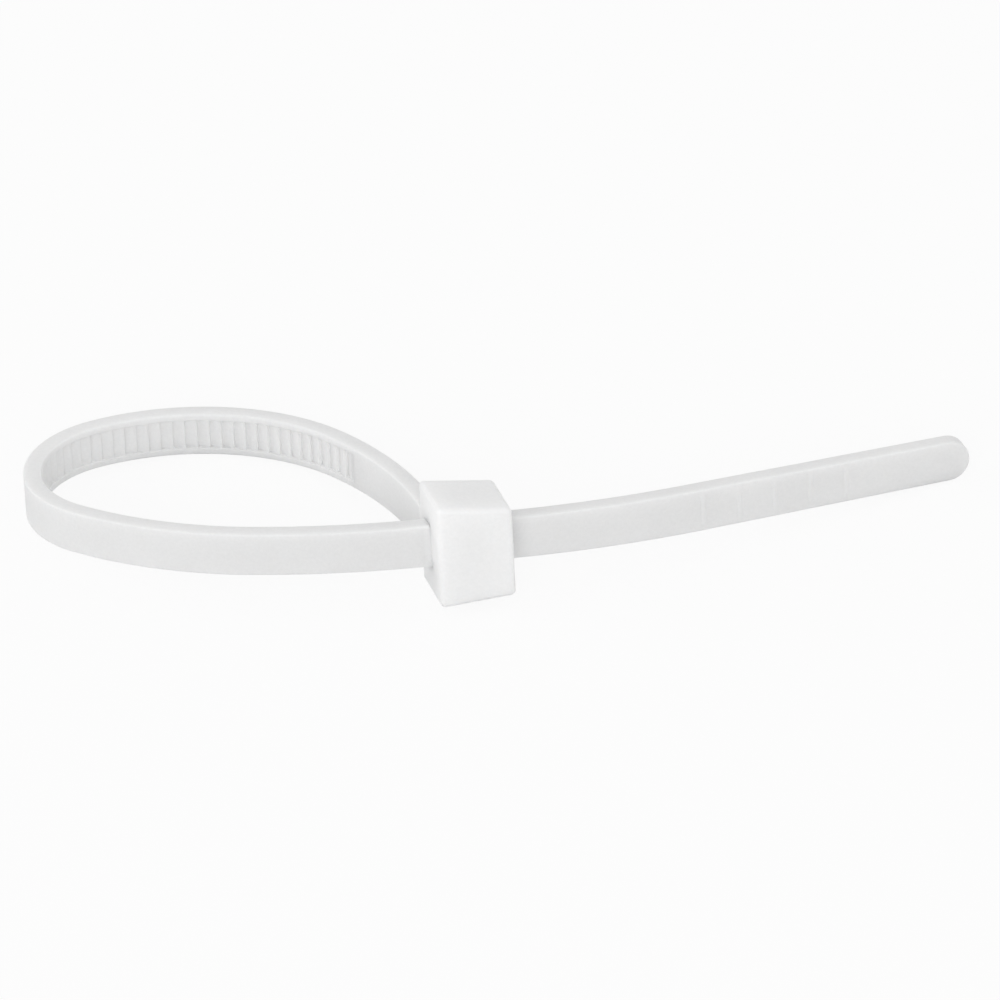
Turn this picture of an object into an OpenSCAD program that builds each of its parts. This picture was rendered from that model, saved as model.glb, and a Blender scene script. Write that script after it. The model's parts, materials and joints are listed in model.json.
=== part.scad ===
// Cable tie, pulled into a loop and lying on its side. It is one nylon moulding.
// The strap stands on edge. It starts at the back of the head, runs round the loop,
// passes through the slot in the head and ends in a free tail.
// Plan coordinates: the centre of the bundle seat is the origin, and the strap turns left
// all the way from its root to its tip, so its left side is the toothed inside of the loop.

/* [Strap] */
// Width of the strap
strap_w = 2.5; // [2:0.1:3.6]
// Thickness of the strap
strap_t = 1; // [0.8:0.05:1.3]
// Height of the smooth rail on each side of the teeth
rail_w = 0.4; // [0.3:0.05:0.6]
// Radius of the strap's long edges
edge_r = 0.1; // [0.05:0.01:0.2]

/* [Teeth] */
// Distance from one tooth to the next
tooth_pitch = 0.7; // [0.5:0.05:1]
// Depth of the track that the teeth stand in
track_depth = 0.36; // [0.25:0.01:0.45]
// Distance of the tooth tips below the rails
tip_drop = 0.06; // [0.02:0.01:0.1]
// Length of the flat tip of a tooth
tooth_land = 0.14; // [0.05:0.01:0.2]
// Angle that the steep face of a tooth leans back
tooth_lean = 8.5; // [0:0.5:15]
// Length of smooth strap between the head and the first tooth
neck_len = 8.5; // [4:0.1:14]
// Length of smooth strap between the last tooth and the tip
grip_len = 16; // [14:0.1:22]

/* [Loop] */
// Radius of the round seat at the far end of the loop, against the bundle
seat_r = 5; // [4:0.1:8]
// Bend radius of the front strand beside the seat
far_r = 21; // [12:0.5:40]
// Turn of the front strand beside the seat
far_turn = 28; // [10:0.5:35]
// Bend radius of the front strand beside the head
near_r = 44.2; // [25:0.1:80]
// Turn of the front strand beside the head
near_turn = 12.5; // [4:0.5:20]
// Angle of the back strand where it leaves the seat
back_rise = 25; // [10:0.5:35]
// Length of the seat end of the back strand, as a multiple of its head end
back_share = 1.65; // [1:0.05:2.5]

/* [Tail] */
// Bend radius of the tail beside the head
tail_r = 52; // [30:1:120]
// Turn of the tail beside the head
tail_turn = 10.8; // [2:0.1:20]
// Length of straight strap between the head and the tail's bend
exit_run = 0.85; // [0.2:0.05:3]
// Length of the straight end of the tail, to the tip
tail_len = 15.65; // [14:0.05:25]
// Width of the strap at the tip
tip_w = 2.35; // [1.6:0.05:2.45]
// Thickness of the strap at the tip
tip_t = 0.95; // [0.6:0.05:1]
// Number of grip ribs across the outside of the tail
rib_count = 5; // [1:1:6]
// Distance from one grip rib to the next
rib_pitch = 2.05; // [1.5:0.05:2.1]
// Distance from the tip to the first grip rib
rib_start = 7.15; // [4:0.05:7.2]
// Width of a grip rib
rib_w = 0.3; // [0.2:0.05:0.6]
// Height of a grip rib above the strap
rib_h = 0.05; // [0.04:0.01:0.15]
// Distance from the ends of a grip rib to the edges of the tip
rib_margin = 0.25; // [0.15:0.05:0.5]

/* [Head] */
// Length of the head along the slot
head_len = 4.1; // [3.4:0.05:5]
// Width of the head at its entry face
head_w_in = 6.1; // [5:0.1:8]
// Width of the head at its exit face
head_w_out = 5.3; // [4.8:0.1:7]
// Radius of the head's edges and corners
head_r = 0.28; // [0.1:0.02:0.4]
// Lean of the entry and exit faces to the slot
face_lean = 9; // [0:0.5:12]
// Angle of the slot to the X axis
slot_turn = 6.5; // [0:0.5:15]
// Thickness of the wall between the slot and the blank end of the head
end_wall = 1.55; // [0.8:0.05:2]
// Thickness of the wall behind the pawl
back_wall = 0.45; // [0.2:0.05:0.6]
// Clearance of the strap in the slot, on each side
slot_gap = 0.06; // [0.05:0.01:0.15]
// Step from the entry face back to the inside of the strap's root
root_step = 0.05; // [0.05:0.05:0.4]
// Radius of the fillet between the strap's root and the back of the head
root_fillet = 0.4; // [0.2:0.05:0.6]

/* [Pawl] */
// Thickness of the pawl at its hinge
pawl_t = 0.4; // [0.3:0.05:0.6]
// Gap behind the pawl, which lets it give way
pawl_gap = 0.22; // [0.15:0.01:0.4]
// Gap on each side of the pawl
pawl_side = 0.12; // [0.08:0.01:0.2]
// Length of solid head between the entry face and the pawl's free part
pawl_hinge = 0.7; // [0.5:0.05:1.2]
// Distance from the pawl's free end to the exit face
pawl_inset = 0.45; // [0.3:0.05:0.8]
// Clearance between the teeth of the pawl and of the strap
mesh_gap = 0.05; // [0.03:0.01:0.08]

/* [Hidden] */
// Turned forms are true circles whatever their number of steps
$fn = 96;
// Overlap that joins one form to another
sink = 0.08;
// How far the arc of a fillet cuts into the faces that it joins, so that it crosses them
fillet_bite = 0.03;
// Steps on the round corners of the head
corner_steps = 24;
// Shortest stretch of strap that is swept
shortest = 0.001;
// Length of the lap between the strap's last bend and its straight end
lap = 0.001;
// Passes that find the direction that is up
rest_passes = 5;

half_t = strap_t / 2;
half_w = strap_w / 2;
tip_r = tip_w / 2;
bend_r = seat_r + half_t;
track_w = strap_w - 2 * rail_w;
tooth_base = half_t - track_depth;
tooth_top = half_t - tip_drop;
// Run-up of the steep face of a tooth, which takes the load
steep_run = (tooth_top - tooth_base) * tan(tooth_lean);

// Distances from the slot's centre line to the blank end and to the back of the head
front_wall = half_t + slot_gap + end_wall;
back_face = half_t + slot_gap + pawl_t + pawl_gap + back_wall;

// A pose is [x, y, heading]. A run is [radius, turn] for a bend to the left and
// [0, length] for a straight.
function shift(p, ahead, left) = [
    p[0] + ahead * cos(p[2]) - left * sin(p[2]),
    p[1] + ahead * sin(p[2]) + left * cos(p[2]),
    p[2]
];
function turned(p, turn) = [p[0], p[1], p[2] + turn];
function centre(p, r) = shift(p, 0, r);
function after(p, run) =
    run[0] == 0
        ? shift(p, run[1], 0)
        : shift(turned(centre(p, run[0]), run[1]), 0, -run[0]);
function run_len(run) = run[0] == 0 ? run[1] : run[0] * run[1] * PI / 180;
function part_of(run, length) = run[0] == 0 ? [0, length] : [run[0], length / run[0] * 180 / PI];
function sum(list, n) = n <= 0 ? 0 : list[n - 1] + sum(list, n - 1);

// The front strand, from the seat to the middle of the slot's mouth
seat_exit = shift([0, 0, slot_turn - near_turn - far_turn], 0, -bend_r);
near_start = after(seat_exit, [far_r, far_turn]);
slot_mouth = after(near_start, [near_r, near_turn]);

// The root: the strap leaves the back of the head along the entry face
root_ahead = (half_t + root_step) / cos(face_lean) - back_face * tan(face_lean);
root = turned(shift(slot_mouth, root_ahead, back_face), face_lean + 90);
seat_entry = shift([0, 0, back_rise + 180], 0, -bend_r);

// The back strand is two bends that leave the root and meet the seat without a kink
function dir(angle) = [cos(angle), sin(angle)];
function heading(v) = (atan2(v[1], v[0]) + 360) % 360;
root_dir = dir(root[2]);
entry_dir = dir(seat_entry[2]);
span = [seat_entry[0] - root[0], seat_entry[1] - root[1]];
openness = 1 - root_dir * entry_dir;
along = (span * root_dir) / back_share + span * entry_dir;
seat_leg = (sqrt(along ^ 2 + 2 * openness * (span * span) / back_share) - along)
    * back_share / (2 * openness);
root_leg = seat_leg / back_share;
mid_heading = heading(span - seat_leg * entry_dir - root_leg * root_dir);
root_turn = mid_heading - root[2];
entry_turn = seat_entry[2] - mid_heading;

runs = [
    [root_leg / tan(root_turn / 2), root_turn],
    [seat_leg / tan(entry_turn / 2), entry_turn],
    [bend_r, 360 + seat_exit[2] - seat_entry[2]],
    [far_r, far_turn],
    [near_r, near_turn],
    [0, head_len + exit_run],
    [tail_r, tail_turn],
    [0, tail_len]
];
lengths = [for (run = runs) run_len(run)];
starts = [for (i = [0:len(runs)]) sum(lengths, i)];
poses = [for (i = 0, p = root; i < len(runs); p = after(p, runs[i]), i = i + 1) p];
slot_run = 5;
tail_run = 7;
mouth_at = starts[slot_run];
tip_at = starts[len(runs)];

// The point at a distance along the strap and to the left of its centre line
function run_at(s, i) = i + 1 < len(runs) && s > starts[i + 1] ? run_at(s, i + 1) : i;
function strap_pose(s) = let (i = run_at(s, 0)) after(poses[i], part_of(runs[i], s - starts[i]));
function strap_point(s, left) = let (p = shift(strap_pose(s), 0, left)) [p[0], p[1]];

teeth_from = neck_len;
tooth_count = floor((tip_at - grip_len - teeth_from) / tooth_pitch);
teeth_to = teeth_from + tooth_count * tooth_pitch;

module at_pose(p) {
    translate([p[0], p[1], 0]) rotate([0, 0, p[2]]) children();
}

// Sweeps a section along the strap, from one distance to another. The section's X axis
// points to the outside of the loop and its Y axis up.
module along_strap(from, to) {
    for (i = [0:len(runs) - 1]) {
        first = max(from, starts[i]);
        last = min(to, starts[i + 1]);
        if (last - first > shortest) {
            piece = part_of(runs[i], last - first);
            start = after(poses[i], part_of(runs[i], first - starts[i]));
            if (piece[0] == 0)
                at_pose(start) rotate([90, 0, 90]) linear_extrude(piece[1]) mirror([1, 0]) children();
            else
                at_pose(turned(centre(start, piece[0]), -90))
                    rotate_extrude(angle = piece[1]) translate([piece[0], 0]) children();
        }
    }
}

module bar_section() {
    square([strap_t - 2 * edge_r, strap_w], center = true);
    square([strap_t, strap_w - 2 * edge_r], center = true);
    for (x = [-1, 1], y = [-1, 1])
        translate([x * (half_t - edge_r), y * (half_w - edge_r)]) circle(edge_r);
}

// The track is cut a little deeper than the feet of the teeth, whose strip fills it again
module track_section() {
    translate([-half_t - sink, -track_w / 2]) square([track_depth + 2 * sink, track_w]);
}

// One tooth, from its steep face to the foot of its ramp
function tooth(s) = [
    strap_point(s, tooth_base),
    strap_point(s + steep_run, tooth_top),
    strap_point(s + steep_run + tooth_land, tooth_top)
];

module teeth() {
    crests = [for (i = [0:tooth_count - 1]) each tooth(teeth_from + i * tooth_pitch)];
    strip_base = tooth_base - 2 * sink;
    strip = [for (i = [tooth_count:-1:0]) strap_point(teeth_from + i * tooth_pitch, strip_base)];
    linear_extrude(track_w + 2 * sink, center = true)
        polygon(concat(crests, [strap_point(teeth_to, tooth_base)], strip));
}

// Half the thickness of the tail's end, at a distance along it
function tail_side(ahead) = half_t + (tip_t / 2 - half_t) * ahead / tail_len;

// The tail's end narrows and thins towards a round tip. It starts with a short lap that
// reaches back into the bend before it.
module tail_end() {
    at_pose(poses[tail_run]) intersection() {
        linear_extrude(strap_w, center = true)
            polygon([
                [-lap, -half_t], [0, -half_t], [tail_len, -tip_t / 2],
                [tail_len, tip_t / 2], [0, half_t], [-lap, half_t]
            ]);
        rotate([90, 0, 0]) linear_extrude(strap_t, center = true) {
            polygon([
                [-lap, -half_w], [0, -half_w], [tail_len - tip_r, -tip_r],
                [tail_len - tip_r, tip_r], [0, half_w], [-lap, half_w]
            ]);
            translate([tail_len - tip_r, 0]) circle(tip_r);
        }
    }
}

// Low rounded ribs across the outside of the tail, short of its edges
module grip_ribs() {
    rib_r = (rib_w ^ 2 / 4 + rib_h ^ 2) / (2 * rib_h);
    for (i = [0:rib_count - 1]) {
        ahead = tail_len - rib_start - i * rib_pitch;
        at_pose(shift(poses[tail_run], ahead, rib_r - rib_h - tail_side(ahead)))
            cylinder(r = rib_r, h = tip_w - 2 * rib_margin, center = true);
    }
}

module strap() {
    difference() {
        along_strap(0, starts[tail_run]) bar_section();
        along_strap(teeth_from, teeth_to) track_section();
    }
    teeth();
    tail_end();
    grip_ribs();
}

// A corner of the head, set in by its radius. The three choices are 0 or 1: entry or exit,
// blank end or back, bottom or top.
function head_corner(exit, back, top) =
    let (
        left = back * (back_face - head_r) - (1 - back) * (front_wall - head_r),
        inset = head_r / cos(face_lean),
        ahead = exit * (head_len - 2 * inset) + inset - left * tan(face_lean),
        half = (exit * head_w_out + (1 - exit) * head_w_in) / 2 - head_r,
        p = shift(slot_mouth, ahead, left)
    )
    [p[0], p[1], (2 * top - 1) * half];

// The tie lies on three points: the head's lower corner between its entry face and its back,
// the lower edge of the back strand, and the lower edge of the tip. They give the direction
// that is up, and each pass moves the rounded contacts to where that direction puts them.
// The back strand's contact lies straight out from the centre of its bend.
function rest_points(up, out) =
    let (
        corner = head_corner(0, 1, 0),
        bend = centre(poses[1], runs[1][0]),
        edge = (runs[1][0] + half_t - edge_r) * out,
        tip_ahead = tail_len - tip_r,
        tip = shift(poses[tail_run], tip_ahead, tail_side(tip_ahead))
    )
    [
        corner - head_r * up,
        [bend[0] + edge[0], bend[1] + edge[1], edge_r - half_w] - edge_r * up,
        [tip[0], tip[1], -tip_r]
    ];
function unit(v) = v / norm(v);
function normal(p) = unit(cross(p[1] - p[0], p[2] - p[0]));
function upright(v) = v * sign(v[2]);
function rest_up(up, out, passes) =
    passes == 0
        ? up
        : let (next = upright(normal(rest_points(up, out))))
            rest_up(next, -unit([next[0], next[1]]), passes - 1);
up = rest_up([0, 0, 1], [0, 1], rest_passes);
rest_turn = [atan2(up[1], up[2]), atan2(-up[0], norm([up[1], up[2]])), 0];

module head_block() {
    hull()
        for (exit = [0, 1], back = [0, 1], top = [0, 1])
            translate(head_corner(exit, back, top)) sphere(head_r, $fn = corner_steps);
}

// The slot that the strap passes through, and beside it the room for the pawl
module slot() {
    reach = head_len + back_face + front_wall;
    pawl_w = track_w - 2 * pawl_side;
    at_pose(slot_mouth) {
        translate([-reach / 2, -half_t - slot_gap, -half_w - slot_gap])
            cube([2 * reach, strap_t + 2 * slot_gap, strap_w + 2 * slot_gap]);
        translate([pawl_hinge, 0, -pawl_w / 2 - pawl_side])
            cube([reach, back_face - back_wall, pawl_w + 2 * pawl_side]);
    }
}

// The springy tongue in the head. Its teeth stand in the gaps between the strap's teeth, as
// many as there is room for between its hinge and its free end.
module pawl() {
    inner = half_t + slot_gap;
    crest = tooth_top + mesh_gap;
    tooth_tip = tooth_base + mesh_gap;
    free_end = head_len - pawl_inset - inner * tan(face_lean);
    foot_clear = steep_run + tooth_land + mesh_gap;
    track_at = teeth_from - mouth_at;
    first = ceil((pawl_hinge - foot_clear - track_at) / tooth_pitch);
    last = floor((free_end - track_at) / tooth_pitch) - 1;
    bites = [
        for (i = [first:last])
            let (foot = track_at + i * tooth_pitch)
            each [
                [foot + foot_clear, crest],
                [foot + tooth_pitch - 2 * mesh_gap, tooth_tip],
                [foot + tooth_pitch - mesh_gap, crest]
            ]
    ];
    at_pose(slot_mouth) linear_extrude(track_w - 2 * pawl_side, center = true)
        polygon(concat(
            [[pawl_hinge - sink, inner + pawl_t], [pawl_hinge - sink, inner + sink], [pawl_hinge, inner]],
            bites,
            [[free_end, crest], [free_end, inner + pawl_t]]
        ));
}

// The strap's root, sunk into the head, with a fillet where its outside meets the back face
module root_joint() {
    corner_turn = 90 + face_lean;
    eye_up = root_fillet - fillet_bite;
    eye_ahead = eye_up / tan(corner_turn / 2);
    at_pose(shift(root, -head_r - sink, 0)) rotate([90, 0, 90])
        linear_extrude(head_r + sink) mirror([1, 0]) bar_section();
    at_pose(shift(slot_mouth, root_ahead + half_t / cos(face_lean), back_face))
        linear_extrude(strap_w - 4 * edge_r, center = true)
            difference() {
                polygon([
                    [-half_t, -sink],
                    [eye_ahead, -sink],
                    eye_ahead * dir(corner_turn) + sink * dir(corner_turn + 90)
                ]);
                translate([eye_ahead, eye_up]) circle(root_fillet);
            }
}

module cable_tie() {
    color([0.88, 0.89, 0.9]) rotate(rest_turn) {
        difference() {
            head_block();
            slot();
        }
        pawl();
        root_joint();
        strap();
    }
}

cable_tie();
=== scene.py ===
# %% [markdown]
# # A nylon cable tie
# The object is one moulding of natural nylon: a strap with teeth on one side, and a head with a
# slot that the strap has been pushed through. It lies on its side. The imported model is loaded
# first, because it fixes where the tie is and how big it is.

# %% Load the frame
import json
import math

import bmesh
import bpy
from mathutils import Matrix, Vector


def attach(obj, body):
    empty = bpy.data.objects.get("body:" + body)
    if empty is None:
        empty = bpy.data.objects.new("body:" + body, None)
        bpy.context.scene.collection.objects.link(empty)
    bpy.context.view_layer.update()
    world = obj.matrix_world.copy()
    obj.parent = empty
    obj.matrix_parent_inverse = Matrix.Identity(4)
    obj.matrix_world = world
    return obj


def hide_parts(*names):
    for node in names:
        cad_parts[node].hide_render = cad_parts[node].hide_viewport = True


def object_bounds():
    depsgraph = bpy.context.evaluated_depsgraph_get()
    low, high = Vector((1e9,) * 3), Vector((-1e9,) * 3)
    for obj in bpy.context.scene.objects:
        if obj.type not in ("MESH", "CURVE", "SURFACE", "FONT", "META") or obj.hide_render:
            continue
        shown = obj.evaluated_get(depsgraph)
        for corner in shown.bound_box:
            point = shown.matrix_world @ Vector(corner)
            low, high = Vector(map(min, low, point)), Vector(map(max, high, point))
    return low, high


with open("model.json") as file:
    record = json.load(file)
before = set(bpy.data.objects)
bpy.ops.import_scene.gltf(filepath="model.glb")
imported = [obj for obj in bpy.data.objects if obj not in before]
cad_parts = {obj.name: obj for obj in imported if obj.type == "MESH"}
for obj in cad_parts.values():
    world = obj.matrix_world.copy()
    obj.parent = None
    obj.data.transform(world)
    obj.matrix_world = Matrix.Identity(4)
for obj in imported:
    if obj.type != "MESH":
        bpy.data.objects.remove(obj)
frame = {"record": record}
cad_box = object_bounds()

MM = 0.001
low, high = Vector(cad_box[0]), Vector(cad_box[1])
print("the tie's box in mm", [round(v / MM, 2) for v in high - low])

# %% [markdown]
# ## How the tie lies
# The shape is easiest to think of on a flat plan, with the strap on edge and its middle at
# height 0. On the table the tie leans, because it touches at three points only. The bundle
# seat, the round end of the loop, is a mount in the record, and its axis gives that lean. A
# rotation made from it turns the flat plan into the lying tie.

# %% The lean of the lying tie
seat = next(m for m in frame["record"]["mounts"] if m["name"] == "bundle_seat")
seat_axis = Vector(seat["axis"]).normalized()
lean_x = -math.asin(seat_axis.y)
lean_y = math.atan2(seat_axis.x, seat_axis.z)
lying = Matrix.Rotation(lean_y, 4, "Y") @ Matrix.Rotation(lean_x, 4, "X")
print("the plan leans by", round(math.degrees(math.acos(seat_axis.z)), 2), "degrees")

# %% [markdown]
# ## The sizes
# These are the sizes that a drawing of the tie would carry. A strap 2.5 mm wide is the common
# miniature size. The teeth stand in a track between two smooth rails, so that only the rails
# touch the bundle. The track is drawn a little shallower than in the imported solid, and the slot
# a little tighter, because light that wanders through nylon hides part of both.
#
# SLOT_GAP is the clearance that the mould leaves, and the head's walls are measured from it.
# SLOT_FIT is the clearance that is drawn. The pawl holds the strap against the front wall, so
# the strap is pressed into that wall by PRESS, and the two become one skin there.

# %% Sizes of the strap
STRAP_W = 2.5 * MM
STRAP_T = 1.0 * MM
EDGE_R = 0.1 * MM
RAIL_W = 0.4 * MM
TRACK_DEPTH = 0.24 * MM
TIP_DROP = 0.06 * MM
TOOTH_PITCH = 0.7 * MM
TOOTH_LAND = 0.14 * MM
TOOTH_LEAN = 8.5
NECK_LEN = 8.5 * MM
GRIP_LEN = 16 * MM
TAIL_LEN = 15.65 * MM
TIP_W = 2.35 * MM
TIP_T = 0.95 * MM
RIB_COUNT = 5
RIB_PITCH = 2.05 * MM
RIB_START = 7.15 * MM
RIB_W = 0.3 * MM
RIB_H = 0.05 * MM
RIB_MARGIN = 0.25 * MM
half_t = STRAP_T / 2
half_w = STRAP_W / 2
tip_r = TIP_W / 2
track_half = half_w - RAIL_W
tooth_base = half_t - TRACK_DEPTH
tooth_top = half_t - TIP_DROP
steep_run = (tooth_top - tooth_base) * math.tan(math.radians(TOOTH_LEAN))
print("a tooth stands", round((tooth_top - tooth_base) / MM, 2), "mm high")

# %% Sizes of the head
HEAD_LEN = 4.1 * MM
HEAD_W_IN = 6.1 * MM
HEAD_W_OUT = 5.3 * MM
HEAD_R = 0.28 * MM
FACE_LEAN = math.radians(9)
END_WALL = 1.55 * MM
BACK_WALL = 0.45 * MM
SLOT_GAP = 0.06 * MM
SLOT_FIT = 0.01 * MM
PRESS = 0.005 * MM
PAWL_T = 0.4 * MM
PAWL_GAP = 0.22 * MM
PAWL_SIDE = 0.12 * MM
PAWL_HINGE = 0.7 * MM
PAWL_INSET = 0.45 * MM
MESH_GAP = 0.05 * MM
ROOT_STEP = 0.05 * MM
ROOT_FILLET = 0.4 * MM
front_wall = half_t + SLOT_GAP + END_WALL
back_face = half_t + SLOT_GAP + PAWL_T + PAWL_GAP + BACK_WALL
print("head depth in mm", round((front_wall + back_face) / MM, 2))

# %% [markdown]
# ## The path of the strap
# From its root at the head to its tip, the strap always turns the same way. Round bends that
# meet without a kink describe it well: a tight seat, slower bends towards the head, and nearly
# straight strap where it passes through the slot. A pose is a place on the plan with a
# heading, and each run moves the pose on.

# %% Poses and runs
def shift(pose, ahead, left):
    x, y, turn = pose
    return (x + ahead * math.cos(turn) - left * math.sin(turn),
            y + ahead * math.sin(turn) + left * math.cos(turn), turn)


def along_run(pose, run, length):
    radius, _ = run
    if radius == 0:
        return shift(pose, length, 0)
    turn = length / radius
    x, y, heading = shift(pose, 0, radius)
    return shift((x, y, heading + turn), 0, -radius)


def direction(turn):
    return Vector((math.cos(turn), math.sin(turn)))


def bend(radius, degrees):
    return (radius, radius * math.radians(degrees))


# %% Bends of the loop
SEAT_R = 5 * MM
SLOT_TURN = math.radians(6.5)
BACK_RISE = math.radians(25)
BACK_SHARE = 1.65
far_bend = bend(21 * MM, 28)
near_bend = bend(44.2 * MM, 12.5)
tail_bend = bend(52 * MM, 10.8)
EXIT_RUN = 0.85 * MM
slot_run = (0, HEAD_LEN + EXIT_RUN)

seat_bend_r = SEAT_R + half_t
seat_exit_turn = SLOT_TURN - near_bend[1] / near_bend[0] - far_bend[1] / far_bend[0]
seat_exit = shift((0, 0, seat_exit_turn), 0, -seat_bend_r)
near_start = along_run(seat_exit, far_bend, far_bend[1])
slot_mouth = along_run(near_start, near_bend, near_bend[1])
print("slot mouth on the plan, mm", [round(v / MM, 2) for v in slot_mouth[:2]])

# %% [markdown]
# ## The back strand
# Between the head and the seat lies the one stretch whose bends aren't known by size. Two arcs
# can always join two poses smoothly. Each arc has two equal tangent legs, and the ratio of the
# legs of one arc to those of the other is chosen from the look of the loop. The rest
# follows from one quadratic equation.

# %% Two arcs from the root to the seat
root_ahead = (half_t + ROOT_STEP) / math.cos(FACE_LEAN) - back_face * math.tan(FACE_LEAN)
root_x, root_y, _ = shift(slot_mouth, root_ahead, back_face)
root = (root_x, root_y, SLOT_TURN + FACE_LEAN + math.pi / 2)
seat_entry = shift((0, 0, BACK_RISE + math.pi), 0, -seat_bend_r)

root_dir = direction(root[2])
entry_dir = direction(seat_entry[2])
span = Vector(seat_entry[:2]) - Vector(root[:2])
openness = 1 - root_dir.dot(entry_dir)
pull = span.dot(root_dir) / BACK_SHARE + span.dot(entry_dir)
swing = math.sqrt(pull ** 2 + 2 * openness * span.dot(span) / BACK_SHARE) - pull
root_leg = swing / (2 * openness)
seat_leg = root_leg * BACK_SHARE
middle = span - seat_leg * entry_dir - root_leg * root_dir
mid_turn = math.atan2(middle.y, middle.x) % (2 * math.pi)


def leg_bend(leg, turn):
    radius = leg / math.tan(turn / 2)
    return (radius, radius * turn)


seat_turn = 2 * math.pi + seat_exit_turn - seat_entry[2]
runs = [
    leg_bend(root_leg, mid_turn - root[2]),
    leg_bend(seat_leg, seat_entry[2] - mid_turn),
    (seat_bend_r, seat_bend_r * seat_turn),
    far_bend,
    near_bend,
    slot_run,
    tail_bend,
    (0, TAIL_LEN),
]
strap_len = sum(length for _, length in runs)
print("length of the strap in mm", round(strap_len / MM, 1))

# %% [markdown]
# ## Where the strap needs a section
# A swept strap is only as fine as its sections. Every tooth needs one at its foot, at both
# edges of its crest and on its ramp, every rib needs a few, and the round tip needs them
# closer and closer together. So the sections aren't evenly spaced: this cell lists the
# distance of each one along the strap.

# %% Distances of the sections
SECTION_STEP = 0.25 * MM
ROOT_SINK = 0.36 * MM
TRACK_RAMP = 0.06 * MM
TIP_STEPS = 14
RAMP_PARTS = 3
RIB_ANGLE_STEP = 30
teeth_from = NECK_LEN
tooth_count = math.floor((strap_len - GRIP_LEN - teeth_from) / TOOTH_PITCH)
teeth_to = teeth_from + tooth_count * TOOTH_PITCH
tip_centre = strap_len - tip_r
rib_places = [strap_len - RIB_START - i * RIB_PITCH for i in range(RIB_COUNT)]


def even(start, stop, step):
    count = max(1, round((stop - start) / step))
    return [start + (stop - start) * i / count for i in range(count)]


ramp_to = TOOTH_PITCH - steep_run - TOOTH_LAND
phases = [0, steep_run / 2, steep_run, steep_run + TOOTH_LAND / 2, steep_run + TOOTH_LAND]
phases += [steep_run + TOOTH_LAND + ramp_to * part / RAMP_PARTS for part in range(1, RAMP_PARTS)]
rib_angles = [math.radians(angle) for angle in range(-90, 91, RIB_ANGLE_STEP)]
rib_steps = [RIB_W / 2 * math.sin(angle) for angle in rib_angles]

sections = even(-ROOT_SINK, teeth_from - TRACK_RAMP, SECTION_STEP) + [teeth_from - TRACK_RAMP]
sections += [teeth_from + i * TOOTH_PITCH + phase for i in range(tooth_count) for phase in phases]
sections += [teeth_to, teeth_to + TRACK_RAMP]
free_tail = even(teeth_to + 2 * TRACK_RAMP, tip_centre, SECTION_STEP)
sections += [s for s in free_tail if all(abs(s - rib) > RIB_W / 2 + TRACK_RAMP for rib in rib_places)]
sections += [rib + step for rib in rib_places for step in rib_steps]
sections += [tip_centre + tip_r * math.sin(math.pi / 2 * i / TIP_STEPS) for i in range(TIP_STEPS + 1)]
sections.sort()
print(tooth_count, "teeth and", len(sections), "sections")

# %% [markdown]
# ## The path as a curve
# The arcs are turned into a poly curve with one point for each section. Geometry Nodes can
# then read from the curve, at every point, where it is, which way it runs and how far along
# the strap it lies.

# %% Draw the path
def pose_at(distance):
    pose = root
    for run in runs:
        if distance <= run[1]:
            break
        pose = along_run(pose, run, run[1])
        distance -= run[1]
    else:
        return shift(pose, distance, 0)
    return along_run(pose, run, distance) if distance > 0 else shift(pose, distance, 0)


def poly_curve(name, points, cyclic=False):
    curve = bpy.data.curves.new(name, "CURVE")
    curve.dimensions = "3D"
    spline = curve.splines.new("POLY")
    spline.points.add(len(points) - 1)
    for target, (x, y) in zip(spline.points, points):
        target.co = (x, y, 0, 1)
    spline.use_cyclic_u = cyclic
    made = bpy.data.objects.new(name, curve)
    bpy.context.scene.collection.objects.link(made)
    return made


path = poly_curve("strap_path", [pose_at(s)[:2] for s in sections])
print("the path has", len(path.data.splines[0].points), "points")

# %% [markdown]
# ## The section of the strap
# The section is drawn once, at full size: x points to the outside of the loop and y is up. It
# has rounded long edges, and columns of points where the rails end and the track begins. The
# tree moves these points to taper the tail and to raise the teeth, so their number never
# changes, and the strap stays one clean skin of four-sided faces.

# %% Draw the section
CORNER_STEPS = 5
TRACK_DRAFT = 0.03 * MM


def rounding(step):
    angle = math.pi / 2 * step / CORNER_STEPS
    return EDGE_R * (1 - math.cos(angle))


edge_heights = [half_w - rounding(step) for step in range(CORNER_STEPS + 1)]
face_heights = [track_half, track_half / 2]
rail_heights = [track_half + TRACK_DRAFT, track_half - TRACK_DRAFT / 2, track_half / 2]


def column(heights):
    return heights + [0] + [-y for y in reversed(heights)]


outer = [(half_t, y) for y in column(edge_heights + face_heights)]
inner = [(-half_t, y) for y in reversed(column(edge_heights + rail_heights))]
section = poly_curve("strap_section", outer + inner, cyclic=True)
print("the section has", len(outer + inner), "points")

# %% [markdown]
# ## Writing a node tree with few words
# A Geometry Nodes tree is a graph of small steps. Most of them here are sums, so a small
# helper makes a Math node from an operation and its inputs. An input can be a number or the
# output of another node. With it the formulas below read almost like written ones.

# %% Helpers for node trees
def connect(tree, value, socket):
    if isinstance(value, bpy.types.NodeSocket):
        tree.links.new(value, socket)
    else:
        socket.default_value = value


def node(tree, kind, values=(), **settings):
    made = tree.nodes.new(kind)
    for name, setting in settings.items():
        setattr(made, name, setting)
    for name, value in dict(values).items():
        connect(tree, value, made.inputs[name])
    return made


def maths(tree, operation, *values, clamp=False):
    numbered = dict(enumerate(values))
    return node(tree, "ShaderNodeMath", numbered, operation=operation, use_clamp=clamp).outputs[0]


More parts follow.
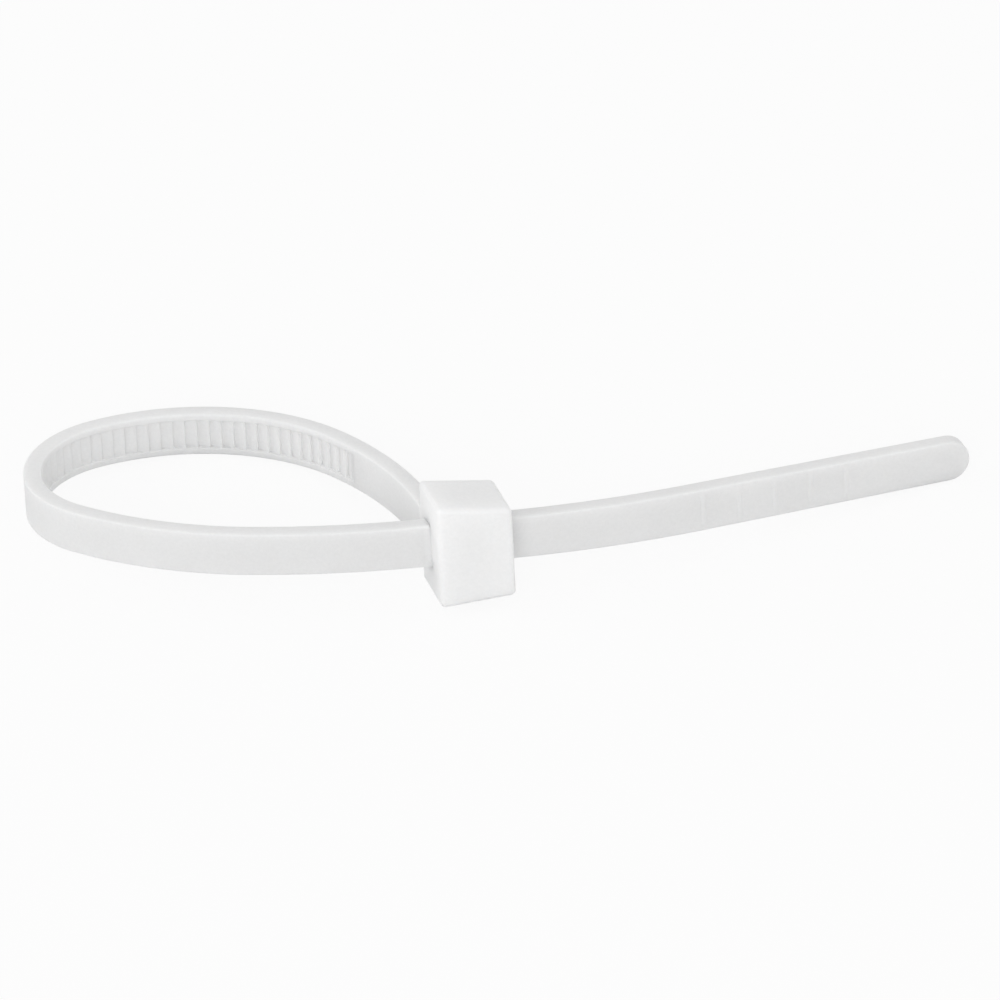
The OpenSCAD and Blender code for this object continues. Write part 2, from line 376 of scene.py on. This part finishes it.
# %% [markdown]
# ## The strap tree
# Curve to Mesh sweeps the section along the path. Before that, Capture Attribute notes on the
# path how far along the strap each point lies and which way it runs, and on the section where
# each of its points lies. After the sweep every vertex carries all of it, and one Set Position
# works out its final place. The formulas say what a mould maker would: the outline narrows to
# a half circle, the edges are rounded, the track is sunk between the rails, and inside it the
# height rises steeply, stays level and falls back once for each tooth.

# %% Open the strap tree
SIZES = {
    "Root Sink": ROOT_SINK, "Half Width": half_w, "Half Thickness": half_t, "Edge Radius": EDGE_R,
    "Track Half Width": track_half, "Tooth Base": tooth_base, "Tooth Top": tooth_top,
    "Tooth Pitch": TOOTH_PITCH, "Tooth Land": TOOTH_LAND, "Steep Run": steep_run,
    "Teeth From": teeth_from, "Teeth To": teeth_to, "Track Ramp": TRACK_RAMP,
    "Taper From": strap_len - TAIL_LEN, "Strap Length": strap_len,
    "Tip Radius": tip_r, "Tip Half Thickness": TIP_T / 2,
    "Last Rib": rib_places[0], "Rib Pitch": RIB_PITCH, "Rib Half Width": RIB_W / 2,
    "Rib Height": RIB_H, "Rib Margin": RIB_MARGIN,
}
strap_tree = bpy.data.node_groups.new("strap_sweep", "GeometryNodeTree")
interface = strap_tree.interface
interface.new_socket("Geometry", in_out="INPUT", socket_type="NodeSocketGeometry")
interface.new_socket("Section", in_out="INPUT", socket_type="NodeSocketObject")
for size_name in SIZES:
    interface.new_socket(size_name, in_out="INPUT", socket_type="NodeSocketFloat")
interface.new_socket("Rib Count", in_out="INPUT", socket_type="NodeSocketInt")
interface.new_socket("Material", in_out="INPUT", socket_type="NodeSocketMaterial")
interface.new_socket("Geometry", in_out="OUTPUT", socket_type="NodeSocketGeometry")
given = strap_tree.nodes.new("NodeGroupInput").outputs
print("the strap tree has", len(SIZES) + 3, "named inputs")


# %% Short names for the steps of this tree
def calc(operation, *values, clamp=False):
    return maths(strap_tree, operation, *values, clamp=clamp)


def choose(condition, when_false, when_true):
    answers = {0: condition, 1: when_false, 2: when_true}
    return node(strap_tree, "GeometryNodeSwitch", answers, input_type="FLOAT").outputs[0]


def above(a, b):
    return node(strap_tree, "FunctionNodeCompare", {0: a, 1: b},
                data_type="FLOAT", operation="GREATER_THAN").outputs[0]


def tell(step):
    print("with", step, "the strap tree has", len(strap_tree.nodes), "nodes")


# %% Capture what the path and the section know
def capture(tree, geometry, **fields):
    made = tree.nodes.new("GeometryNodeCaptureAttribute")
    tree.links.new(geometry, made.inputs[0])
    for name, (kind, field) in fields.items():
        made.capture_items.new(kind, name)
        tree.links.new(field, made.inputs[name])
    return made.outputs


spline = node(strap_tree, "GeometryNodeSplineParameter")
here = node(strap_tree, "GeometryNodeInputPosition").outputs[0]
heading = node(strap_tree, "GeometryNodeInputTangent").outputs[0]
on_path = capture(
    strap_tree, given["Geometry"], length=("FLOAT", spline.outputs["Length"]),
    place=("VECTOR", here), heading=("VECTOR", heading))
drawn = node(strap_tree, "GeometryNodeObjectInfo", {"Object": given["Section"]})
on_section = capture(strap_tree, drawn.outputs["Geometry"], drawn=("VECTOR", here))
swept = node(strap_tree, "GeometryNodeCurveToMesh", {
    "Curve": on_path[0], "Profile Curve": on_section[0], "Fill Caps": True})
tell("the sweep")

# %% Outline: distance from each vertex to the edge of the strap
along = calc("SUBTRACT", on_path["length"], given["Root Sink"])
split = node(strap_tree, "ShaderNodeSeparateXYZ", {0: on_section["drawn"]}).outputs
share = calc("DIVIDE", split["Y"], given["Half Width"])
to_tip = calc("SUBTRACT", given["Strap Length"], given["Taper From"])
taper = calc("DIVIDE", calc("SUBTRACT", along, given["Taper From"]), to_tip, clamp=True)
taper_end = calc("SUBTRACT", to_tip, given["Tip Radius"])
narrowing = calc("DIVIDE", calc("SUBTRACT", along, given["Taper From"]), taper_end, clamp=True)
loss = calc("MULTIPLY", narrowing, calc("SUBTRACT", given["Half Width"], given["Tip Radius"]))
straight_half = calc("SUBTRACT", given["Half Width"], loss)
past = calc("SUBTRACT", along, calc("SUBTRACT", given["Strap Length"], given["Tip Radius"]))
past = calc("MAXIMUM", past, 0.0)
round_sq = calc("SUBTRACT", calc("POWER", given["Tip Radius"], 2.0), calc("POWER", past, 2.0))
round_half = calc("SQRT", calc("MAXIMUM", round_sq, 0.0))
at_tip = above(past, 0.0)
outline = choose(at_tip, straight_half, round_half)
rise = calc("MULTIPLY", share, outline)
from_side = calc("SUBTRACT", outline, calc("ABSOLUTE", rise))
reach = calc("SQRT", calc("ADD", calc("POWER", past, 2.0), calc("POWER", rise, 2.0)))
from_edge = choose(at_tip, from_side, calc("SUBTRACT", given["Tip Radius"], reach))
tell("the outline")

# %% Thickness: full inside, rounded off at the edge
lost = calc("MULTIPLY", taper, calc("SUBTRACT", given["Half Thickness"], given["Tip Half Thickness"]))
full = calc("SUBTRACT", given["Half Thickness"], lost)
gap = calc("MAXIMUM", calc("SUBTRACT", given["Edge Radius"], from_edge), 0.0)
gap = calc("MINIMUM", gap, given["Edge Radius"])
arc_sq = calc("SUBTRACT", calc("POWER", given["Edge Radius"], 2.0), calc("POWER", gap, 2.0))
arc = calc("SQRT", calc("MAXIMUM", arc_sq, 0.0))
skin = calc("ADD", calc("SUBTRACT", full, given["Edge Radius"]), arc)
tell("the thickness")

# %% Teeth: steep face, crest and ramp, over and over
cycle = calc("DIVIDE", calc("SUBTRACT", along, given["Teeth From"]), given["Tooth Pitch"])
phase = calc("MULTIPLY", calc("FRACT", cycle), given["Tooth Pitch"])
climb = calc("DIVIDE", phase, given["Steep Run"])
crest = calc("ADD", given["Steep Run"], given["Tooth Land"])
ramp = calc("SUBTRACT", given["Tooth Pitch"], crest)
fall = calc("DIVIDE", calc("SUBTRACT", given["Tooth Pitch"], phase), ramp)
tooth = calc("MINIMUM", climb, fall, clamp=True)
tooth_rise = calc("MULTIPLY", tooth, calc("SUBTRACT", given["Tooth Top"], given["Tooth Base"]))
floor_height = calc("ADD", given["Tooth Base"], tooth_rise)
enter = calc("DIVIDE", calc("SUBTRACT", along, given["Teeth From"]), given["Track Ramp"])
leave = calc("DIVIDE", calc("SUBTRACT", given["Teeth To"], along), given["Track Ramp"])
open_track = calc("ADD", calc("MINIMUM", enter, leave), 1.0, clamp=True)
is_inner = above(0.0, split["X"])
height_drawn = calc("ABSOLUTE", split["Y"])
in_track = calc("MULTIPLY", is_inner, above(given["Track Half Width"], height_drawn))
sunk = calc("MULTIPLY", in_track, open_track)
drop = calc("MULTIPLY", sunk, calc("SUBTRACT", skin, floor_height))
tell("the teeth")

# %% Ribs: a low round rise at each rib, on the outside
back_from_rib = calc("SUBTRACT", given["Last Rib"], along)
nearest = calc("ROUND", calc("DIVIDE", back_from_rib, given["Rib Pitch"]))
nearest = calc("MAXIMUM", nearest, 0.0)
nearest = calc("MINIMUM", nearest, calc("SUBTRACT", given["Rib Count"], 1.0))
off_rib = calc("SUBTRACT", back_from_rib, calc("MULTIPLY", nearest, given["Rib Pitch"]))
rib_share = calc("DIVIDE", off_rib, given["Rib Half Width"])
bump = calc("SUBTRACT", 1.0, calc("POWER", calc("ABSOLUTE", rib_share), 2.0), clamp=True)
on_rib = above(calc("SUBTRACT", given["Half Width"], given["Rib Margin"]), height_drawn)
is_outer = above(split["X"], 0.0)
on_rib = calc("MULTIPLY", on_rib, is_outer)
proud = calc("MULTIPLY", calc("MULTIPLY", bump, given["Rib Height"]), on_rib)
tell("the ribs")

# %% Put every vertex in its place
WELD = 0.0001 * MM
thick = calc("ADD", calc("SUBTRACT", skin, drop), proud)
out_by = calc("MULTIPLY", thick, calc("SIGN", split["X"]))
outwards = node(strap_tree, "ShaderNodeVectorMath", {
    0: on_path["heading"], 1: (0, 0, 1)}, operation="CROSS_PRODUCT")
offset = node(strap_tree, "ShaderNodeVectorMath", {
    0: outwards.outputs[0], "Scale": out_by}, operation="SCALE")
lift = node(strap_tree, "ShaderNodeCombineXYZ", {"Z": rise})
beside = node(strap_tree, "ShaderNodeVectorMath", {
    0: on_path["place"], 1: offset.outputs[0]}, operation="ADD")
final = node(strap_tree, "ShaderNodeVectorMath", {
    0: beside.outputs[0], 1: lift.outputs[0]}, operation="ADD")
placed = node(strap_tree, "GeometryNodeSetPosition", {
    "Geometry": swept.outputs[0], "Position": final.outputs[0]})
merged = node(strap_tree, "GeometryNodeMergeByDistance", {
    "Geometry": placed.outputs[0], "Distance": WELD})
real = node(strap_tree, "GeometryNodeRealizeInstances", {"Geometry": merged.outputs[0]})
coated = node(strap_tree, "GeometryNodeSetMaterial", {
    "Geometry": real.outputs[0], "Material": given["Material"]})
result = node(strap_tree, "NodeGroupOutput")
connect(strap_tree, coated.outputs[0], result.inputs["Geometry"])
tell("every vertex placed")

# %% [markdown]
# ## Natural nylon
# Undyed nylon is milky. Light goes a little way in and comes out nearby, which softens every
# edge and lets thin places glow. Subsurface scattering does that, with a reach of about a
# millimetre, which is as thick as the strap. The surface is satin from the mould: a fine grain
# in the bump, faint clouds in the colour where the melt cooled at different speeds, and patches
# that are a little smoother than others. The colour also carries painted light and shade, read
# from a mark on the mesh: the strap is painted darker, the inside of the round end a little less
# so, and the head keeps its full tone. Those marks are made once the tie is one skin.

# %% Open the nylon and its noise
nylon = bpy.data.materials.new("natural_nylon")
nylon.use_nodes = True
nylon_tree = nylon.node_tree
shader = nylon_tree.nodes["Principled BSDF"]
coords = node(nylon_tree, "ShaderNodeTexCoord").outputs["Object"]
NOISE_LOW = 0.3
NOISE_HIGH = 0.7


def noise(scale, detail=2, roughness=0.5):
    return node(nylon_tree, "ShaderNodeTexNoise", {
        "Vector": coords, "Scale": scale, "Detail": detail, "Roughness": roughness}).outputs["Fac"]


def remap(value, low_in, high_in, low_out, high_out):
    return node(nylon_tree, "ShaderNodeMapRange", {
        "Value": value, "From Min": low_in, "From Max": high_in,
        "To Min": low_out, "To Max": high_out}).outputs["Result"]


def stretched(cloudy, low_out=0.0, high_out=1.0):
    return remap(cloudy, NOISE_LOW, NOISE_HIGH, low_out, high_out)


print("most of a noise lies between", NOISE_LOW, "and", NOISE_HIGH)

# %% Colour: clouds, specks, and painted light and shade
CLOUD_SCALE = 260
SPECK_SCALE = 5500
CLOUD_SHARE = 0.4
DARKEST = (0.89, 0.892, 0.892, 1)
LIGHTEST = (0.95, 0.951, 0.951, 1)
# Painted shade: the strap's colour is scaled down to this share of the head's, as if light were lost
# through the thin nylon.
STRAP_PAINTED_SHADE = 0.865
clouds = maths(nylon_tree, "MULTIPLY", stretched(noise(CLOUD_SCALE, detail=3)), CLOUD_SHARE)
specks = stretched(noise(SPECK_SCALE, roughness=0.7))
specks = maths(nylon_tree, "MULTIPLY", specks, 1 - CLOUD_SHARE)
mottle = maths(nylon_tree, "ADD", clouds, specks)
tint = node(nylon_tree, "ShaderNodeMix", {0: mottle, 6: DARKEST, 7: LIGHTEST}, data_type="RGBA")
# Painted light and shade: a mark on the mesh keeps the head at full tone, paints the strap darker, and
# the inside of the round end a little less dark.
painted_light_mark = node(nylon_tree, "ShaderNodeAttribute", attribute_name="painted_light").outputs["Fac"]
tone = remap(painted_light_mark, 0.0, 1.0, STRAP_PAINTED_SHADE, 1.0)
body = node(nylon_tree, "ShaderNodeVectorMath", {
    0: tint.outputs[2], "Scale": tone}, operation="SCALE")
connect(nylon_tree, body.outputs[0], shader.inputs["Base Color"])
print("the strap's painted shade is", STRAP_PAINTED_SHADE, "of the head's tone")

# %% Surface: satin patches and fine grain
PATCH_SCALE = 900
GRAIN_SCALE = 9000
RIPPLE_SCALE = 1500
RIPPLE_SHARE = 2.0
SMOOTHEST = 0.46
ROUGHEST = 0.56
GRAIN_STRENGTH = 0.3
GRAIN_DEPTH = 0.01 * MM
patches = stretched(noise(PATCH_SCALE), SMOOTHEST, ROUGHEST)
connect(nylon_tree, patches, shader.inputs["Roughness"])
ripple = maths(nylon_tree, "MULTIPLY", noise(RIPPLE_SCALE), RIPPLE_SHARE)
grain = maths(nylon_tree, "ADD", noise(GRAIN_SCALE), ripple)
grain_bump = node(nylon_tree, "ShaderNodeBump", {
    "Height": grain, "Strength": GRAIN_STRENGTH, "Distance": GRAIN_DEPTH})
connect(nylon_tree, grain_bump.outputs[0], shader.inputs["Normal"])
print("the roughness runs from", SMOOTHEST, "to", ROUGHEST)

# %% Inside: how light wanders through
SCATTER_REACH = 1.2 * MM
inside_values = {
    "IOR": 1.53,
    "Specular IOR Level": 0.35,
    "Subsurface Weight": 1.0,
    "Subsurface Scale": SCATTER_REACH,
    "Subsurface Radius": (1.0, 0.98, 0.96),
    "Subsurface Anisotropy": 0.2,
}
for socket_name, value in inside_values.items():
    shader.inputs[socket_name].default_value = value
print("nylon has", len(nylon_tree.nodes), "nodes")

# %% [markdown]
# ## Sweep the strap
# The tree is put on the path as a modifier. A modifier stores its inputs under the identifiers
# of the tree's sockets, so a small function looks those up by name. The evaluated result
# becomes a plain mesh.

# %% Run the strap tree
def set_inputs(modifier, values):
    sockets = [s for s in modifier.node_group.interface.items_tree if s.in_out == "INPUT"]
    for socket in sockets:
        if socket.name in values:
            modifier[socket.identifier] = values[socket.name]


def plain_mesh(source):
    depsgraph = bpy.context.evaluated_depsgraph_get()
    return bpy.data.meshes.new_from_object(source.evaluated_get(depsgraph), depsgraph=depsgraph)


def mesh_object(name, mesh):
    made = bpy.data.objects.new(name, mesh)
    bpy.context.scene.collection.objects.link(made)
    return made


sweep = path.modifiers.new("sweep", "NODES")
sweep.node_group = strap_tree
set_inputs(sweep, {**SIZES, "Section": section, "Rib Count": RIB_COUNT, "Material": nylon})
strap = mesh_object("strap_skin", plain_mesh(path))
print("the strap has", len(strap.data.polygons), "faces")


# %% [markdown]
# ## Check each skin
# A boolean needs closed skins whose faces point outwards. The volume of a closed skin is
# positive when they do, so measuring it tests both at once.

# %% Turn faces outwards and measure
def close_skin(thing):
    shape = bmesh.new()
    shape.from_mesh(thing.data)
    bmesh.ops.remove_doubles(shape, verts=shape.verts, dist=WELD)
    bmesh.ops.recalc_face_normals(shape, faces=shape.faces)
    if shape.calc_volume(signed=True) < 0:
        bmesh.ops.reverse_faces(shape, faces=shape.faces)
    open_edges = sum(1 for edge in shape.edges if len(edge.link_faces) != 2)
    volume = shape.calc_volume(signed=True)
    shape.to_mesh(thing.data)
    shape.free()
    print(thing.name, "volume in mm3", round(volume / MM ** 3, 1), "open edges", open_edges)


close_skin(strap)

# %% [markdown]
# ## The head
# The head is a block whose entry and exit faces lean with the strap's root, and which narrows
# towards the exit. Eight corners make it, and a Bevel modifier gives the round edges that a
# mould leaves. Everything else about the head has one outline and a height: the slot, the room
# behind the pawl, the pawl itself and the fillet at the root. One function makes such prisms.

# %% Head block
def head_corner(at_exit, at_back, at_top):
    left = back_face if at_back else -front_wall
    ahead = at_exit * HEAD_LEN - left * math.tan(FACE_LEAN)
    half = (HEAD_W_OUT if at_exit else HEAD_W_IN) / 2
    x, y, _ = shift(slot_mouth, ahead, left)
    return (x, y, half if at_top else -half)


def skin_from(name, points, faces):
    mesh = bpy.data.meshes.new(name)
    mesh.from_pydata(points, [], faces)
    made = mesh_object(name, mesh)
    close_skin(made)
    return made


corners = [
    head_corner(at_exit, at_back, at_top)
    for at_exit in (0, 1) for at_back in (0, 1) for at_top in (0, 1)
]
box_faces = [(0, 1, 3, 2), (4, 6, 7, 5), (0, 4, 5, 1), (2, 3, 7, 6), (0, 2, 6, 4), (1, 5, 7, 3)]
head = skin_from("head_block", corners, box_faces)
HEAD_EDGE_STEPS = 6
round_edges = head.modifiers.new("round_edges", "BEVEL")
round_edges.width = HEAD_R
round_edges.segments = HEAD_EDGE_STEPS
round_edges.limit_method = "NONE"


# %% Prisms for the slot and the pawl
def prism(name, outline, half_height, pose):
    points = []
    for z in (-half_height, half_height):
        points += [(*shift(pose, ahead, left)[:2], z) for ahead, left in outline]
    count = len(outline)
    sides = [(i, (i + 1) % count, (i + 1) % count + count, i + count) for i in range(count)]
    return skin_from(name, points, sides + [tuple(range(count)), tuple(range(count, 2 * count))])


def rectangle(ahead_from, ahead_to, left_from, left_to):
    return [(ahead_from, left_from), (ahead_to, left_from),
            (ahead_to, left_to), (ahead_from, left_to)]


past_head = 2 * HEAD_LEN
slot_half = half_t + SLOT_GAP
slot_sides = rectangle(-past_head, past_head, PRESS - half_t, half_t + SLOT_FIT)
slot = prism("slot", slot_sides, half_w + SLOT_FIT, slot_mouth)
room_outline = rectangle(PAWL_HINGE, past_head, 0, back_face - BACK_WALL)
room = prism("pawl_room", room_outline, track_half, slot_mouth)

# %% [markdown]
# ## The pawl
# The pawl is the springy tongue that lets the strap in and holds it back. It hangs from the
# entry side of the head, and its teeth stand in the gaps between the strap's teeth. So its
# outline isn't drawn by eye: where each of its teeth stands follows from how far along the
# strap the slot's mouth lies, and the pawl stays in step with the strap at every length of
# loop. The small fillet where the strap leaves the head takes the load when the tie is pulled.

# %% The pawl, with its teeth between the strap's teeth
JOIN = 0.08 * MM
mouth_at = sum(length for _, length in runs[:runs.index(slot_run)])
pawl_crest = tooth_top + MESH_GAP
pawl_tip = tooth_base + MESH_GAP
free_end = HEAD_LEN - PAWL_INSET - slot_half * math.tan(FACE_LEAN)
foot_clear = steep_run + TOOTH_LAND + MESH_GAP
track_at = teeth_from - mouth_at
first_bite = math.ceil((PAWL_HINGE - foot_clear - track_at) / TOOTH_PITCH)
end_bite = math.floor((free_end - track_at) / TOOTH_PITCH)
pawl_back = slot_half + PAWL_T
pawl_outline = [
    (PAWL_HINGE - JOIN, pawl_back),
    (PAWL_HINGE - JOIN, slot_half + JOIN),
    (PAWL_HINGE, slot_half),
]
for bite in range(first_bite, end_bite):
    foot = track_at + bite * TOOTH_PITCH
    pawl_outline += [
        (foot + foot_clear, pawl_crest),
        (foot + TOOTH_PITCH - 2 * MESH_GAP, pawl_tip),
        (foot + TOOTH_PITCH - MESH_GAP, pawl_crest),
    ]
pawl_outline += [(free_end, pawl_crest), (free_end, pawl_back)]
pawl = prism("pawl", pawl_outline, track_half - PAWL_SIDE, slot_mouth)
print("the pawl has", end_bite - first_bite, "teeth")

# %% The fillet at the root
FILLET_BITE = 0.03 * MM
FILLET_STEPS = 9
spread = math.pi / 2 + FACE_LEAN
eye_up = ROOT_FILLET - FILLET_BITE
eye = (eye_up / math.tan(spread / 2), eye_up)
fillet_outline = [(-half_t, -JOIN), (eye[0], -JOIN)]
for step in range(FILLET_STEPS + 1):
    angle = 1.5 * math.pi - (math.pi - spread) * step / FILLET_STEPS
    arc_x = eye[0] + ROOT_FILLET * math.cos(angle)
    arc_y = eye[1] + ROOT_FILLET * math.sin(angle)
    fillet_outline.append((arc_x, arc_y))
fillet_pose = shift(slot_mouth, root_ahead + half_t / math.cos(FACE_LEAN), back_face)
fillet = prism("root_fillet", fillet_outline, half_w - 2 * EDGE_R, fillet_pose)

# %% [markdown]
# ## One moulding
# The real tie comes out of one mould, so it becomes one skin. Joining matters for the look as
# well: light that wanders inside the nylon would stop at a hidden wall between two skins.
# Boolean modifiers cut the slot and the room for the pawl and unite the rest.

# %% Cut and unite
def combine(target, operation, tool):
    step = target.modifiers.new(operation.lower() + "_" + tool.name, "BOOLEAN")
    step.operation = operation
    step.solver = "MANIFOLD"
    step.object = tool


combine(head, "DIFFERENCE", slot)
combine(head, "DIFFERENCE", room)
combine(head, "UNION", pawl)
combine(head, "UNION", fillet)
combine(head, "UNION", strap)
tie = mesh_object("cable_tie_moulding", plain_mesh(head))
for helper in (head, slot, room, pawl, fillet, strap, path, section):
    bpy.data.objects.remove(helper)
close_skin(tie)

# %% [markdown]
# ## Where light and shade are painted
# The thick head of a natural tie looks whiter than its strap, because more milky nylon lies
# behind its skin, and the inside of the round end, where light is thrown to and fro, looks a
# little whiter than the outside. Both are painted into the colour. Each point of the mesh gets a
# mark from 0 to 1: where it is low the colour is painted darker, as painted shade on the strap,
# and where it is high it keeps more of its tone, as painted light on the head and in the loop.
# Marks on points follow the surface wherever the piece goes, which a pattern in space would not,
# and they need no picture.

# %% Mark where light and shade are painted
# Painted light: the inside of the round end gets up to this much of the head's tone back, and the head's
# painted light fades along the strap over the next size.
INNER_PAINTED_LIGHT = 0.35
PAINTED_LIGHT_FADE = 0.4 * MM
TRACE_STEP = 0.8 * MM
loop_trace = [pose_at(s)[:2] for s in even(0, mouth_at, TRACE_STEP)] + [slot_mouth[:2]]


def outside_head(point):
    over_x, over_y = point.x - slot_mouth[0], point.y - slot_mouth[1]
    left = over_y * math.cos(SLOT_TURN) - over_x * math.sin(SLOT_TURN)
    ahead = over_x * math.cos(SLOT_TURN) + over_y * math.sin(SLOT_TURN) + left * math.tan(FACE_LEAN)
    return max(-ahead, ahead - HEAD_LEN, left - back_face, -front_wall - left, 0)


def inside_loop(point):
    inside = False
    for (ax, ay), (bx, by) in zip(loop_trace, loop_trace[1:] + loop_trace[:1]):
        if (ay > point.y) != (by > point.y) and point.x < ax + (bx - ax) * (point.y - ay) / (by - ay):
            inside = not inside
    return inside


# Each point gets its painted light mark: 1 on the head, fading along the strap, and more towards the seat
# inside the loop.
painted_light = tie.data.attributes.new("painted_light", "FLOAT", "POINT")
for vertex, mark in zip(tie.data.vertices, painted_light.data):
    on_head = max(0.0, 1 - outside_head(vertex.co) / PAINTED_LIGHT_FADE)
    bent = INNER_PAINTED_LIGHT * min(1.0, max(0.0, 1 - vertex.co.x / slot_mouth[0]))
    mark.value = max(on_head, bent) if inside_loop(vertex.co) else on_head
print(sum(1 for mark in painted_light.data if mark.value > 0), "of", len(painted_light.data), "points carry painted light")

# %% [markdown]
# ## Lay the tie down
# Everything so far stands on the flat plan. The lean from the record now turns the points of
# the mesh, and not the object, because a finished piece sits at the frame's origin. Edges that
# are sharp on the real tie stay sharp, and a Weighted Normal modifier lets the large flat faces
# decide how light falls on the narrow rounded ones beside them.

# %% Lay the tie down and finish its skin
SHARP_ANGLE = math.radians(28)
tie.data.transform(lying)
tie.data.materials.clear()
tie.data.materials.append(nylon)
tie.data.shade_smooth()
tie.data.set_sharp_from_angle(angle=SHARP_ANGLE)
even_normals = tie.modifiers.new("even_normals", "WEIGHTED_NORMAL")
even_normals.keep_sharp = True
print("the tie has", len(tie.data.polygons), "faces")

# %% Give it its place in the frame
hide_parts("cable_tie")
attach(tie, "root")
print(tie.name, "stands for the packed cable_tie")

# %% [markdown]
# ## The table
# The tie lies on a plain white table. To the camera the table is nearly the same white as the
# background, so only the soft shadow under the tie shows. Its material mixes a plain white
# surface with a glow. The glow is only looked at, directly or in a shiny or clear surface, and
# lights nothing, so it can't wash out the tie.

# %% Table
TABLE_HALF = 1500 * MM
TABLE_GREY = (0.85, 0.85, 0.85, 1)
TABLE_ROUGHNESS = 0.9
GLOW_SHARE = 0.9
WHITE = (1, 1, 1, 1)


def looked_at(tree):
    rays = node(tree, "ShaderNodeLightPath").outputs
    direct = maths(tree, "MAXIMUM", rays["Is Camera Ray"], rays["Is Transmission Ray"])
    return maths(tree, "MAXIMUM", direct, rays["Is Glossy Ray"])


table_white = bpy.data.materials.new("white_table")
table_white.use_nodes = True
table_tree = table_white.node_tree
matt = table_tree.nodes["Principled BSDF"]
matt.inputs["Base Color"].default_value = TABLE_GREY
matt.inputs["Roughness"].default_value = TABLE_ROUGHNESS
matt.inputs["Specular IOR Level"].default_value = 0.0
glow = node(table_tree, "ShaderNodeEmission", {"Color": WHITE, "Strength": 1.0})
glow_share = maths(table_tree, "MULTIPLY", looked_at(table_tree), GLOW_SHARE)
glowing = node(table_tree, "ShaderNodeMixShader", {0: glow_share, 1: matt.outputs[0], 2: glow.outputs[0]})
connect(table_tree, glowing.outputs[0], table_tree.nodes["Material Output"].inputs["Surface"])

table_outline = rectangle(-TABLE_HALF, TABLE_HALF, -TABLE_HALF, TABLE_HALF)
table_mesh = bpy.data.meshes.new("table")
table_mesh.from_pydata([(x, y, low.z) for x, y in table_outline], [], [(0, 1, 2, 3)])
table = mesh_object("table", table_mesh)
table.data.materials.append(table_white)
print("the table lies", round(-low.z / MM, 2), "mm under the middle of the seat")

# %% [markdown]
# ## Soft light
# Milky nylon shows best under broad light from the front: the head's front face is then its
# brightest, and no edge has a hard highlight. Three disks of light stand around the tie, the
# strongest in front, and a white world fills the shadows. The tie gets only part of the world's
# light, while the camera sees it fully white, so the background is white and the tie keeps its
# own tone.

# %% World
AMBIENT = 0.65
world = bpy.data.worlds.new("studio")
bpy.context.scene.world = world
world.use_nodes = True
world_tree = world.node_tree
background = world_tree.nodes["Background"]
extra = maths(world_tree, "MULTIPLY", looked_at(world_tree), 1 - AMBIENT)
connect(world_tree, maths(world_tree, "ADD", AMBIENT, extra), background.inputs["Strength"])
background.inputs["Color"].default_value = WHITE
print("the tie gets", AMBIENT, "of the white world")

# %% Lamps
middle_point = (low + high) / 2


def softbox(name, place, size, power):
    lamp = bpy.data.lights.new(name, "AREA")
    lamp.shape = "DISK"
    lamp.size = size
    lamp.energy = power
    made = bpy.data.objects.new(name, lamp)
    made.location = middle_point + Vector(place)
    made.rotation_euler = (-Vector(place)).to_track_quat("-Z", "Y").to_euler()
    bpy.context.scene.collection.objects.link(made)
    print(name, "lamp, watts:", power)


softbox("front", place=(-0.1, -0.5, 0.35), size=0.4, power=1.1)
softbox("left", place=(-0.55, 0.05, 0.2), size=0.4, power=0.6)
softbox("right", place=(0.55, 0.0, 0.25), size=0.5, power=0.3)

# %% [markdown]
# ## The camera
# The photograph was taken from well above the table with a long lens, a little rolled. The
# camera is far away and its field is worked out from how wide the picture is at the tie.

# %% Camera
PICTURE_PIXELS = 1000
PIXELS_PER_MM = 18.362
VIEW_AZIMUTH = math.radians(-2.32)
VIEW_ELEVATION = math.radians(37.92)
VIEW_ROLL = math.radians(-5.44)
VIEW_DISTANCE = 600 * MM
FIELD_W = PICTURE_PIXELS / PIXELS_PER_MM * MM
CLIP_START = 10 * MM
AIM_RIGHT = 0.285 * MM
AIM_UP = -1.707 * MM
looking = Vector((math.sin(VIEW_AZIMUTH) * math.cos(VIEW_ELEVATION),
                  math.cos(VIEW_AZIMUTH) * math.cos(VIEW_ELEVATION),
                  -math.sin(VIEW_ELEVATION)))
level = Vector((math.cos(VIEW_AZIMUTH), -math.sin(VIEW_AZIMUTH), 0))
upward = level.cross(looking)
right = math.cos(VIEW_ROLL) * level + math.sin(VIEW_ROLL) * upward
top = math.cos(VIEW_ROLL) * upward - math.sin(VIEW_ROLL) * level
aim = middle_point + AIM_RIGHT * right + AIM_UP * top

lens = bpy.data.cameras.new("camera")
lens.angle = 2 * math.atan(FIELD_W / 2 / VIEW_DISTANCE)
lens.clip_start = CLIP_START
camera = bpy.data.objects.new("camera", lens)
facing = Matrix((right, top, -looking)).transposed()
camera.matrix_world = Matrix.Translation(aim - VIEW_DISTANCE * looking) @ facing.to_4x4()
bpy.context.scene.collection.objects.link(camera)
bpy.context.scene.camera = camera
bpy.context.scene.view_settings.view_transform = "Standard"
print("field of view in degrees", round(math.degrees(lens.angle), 2))
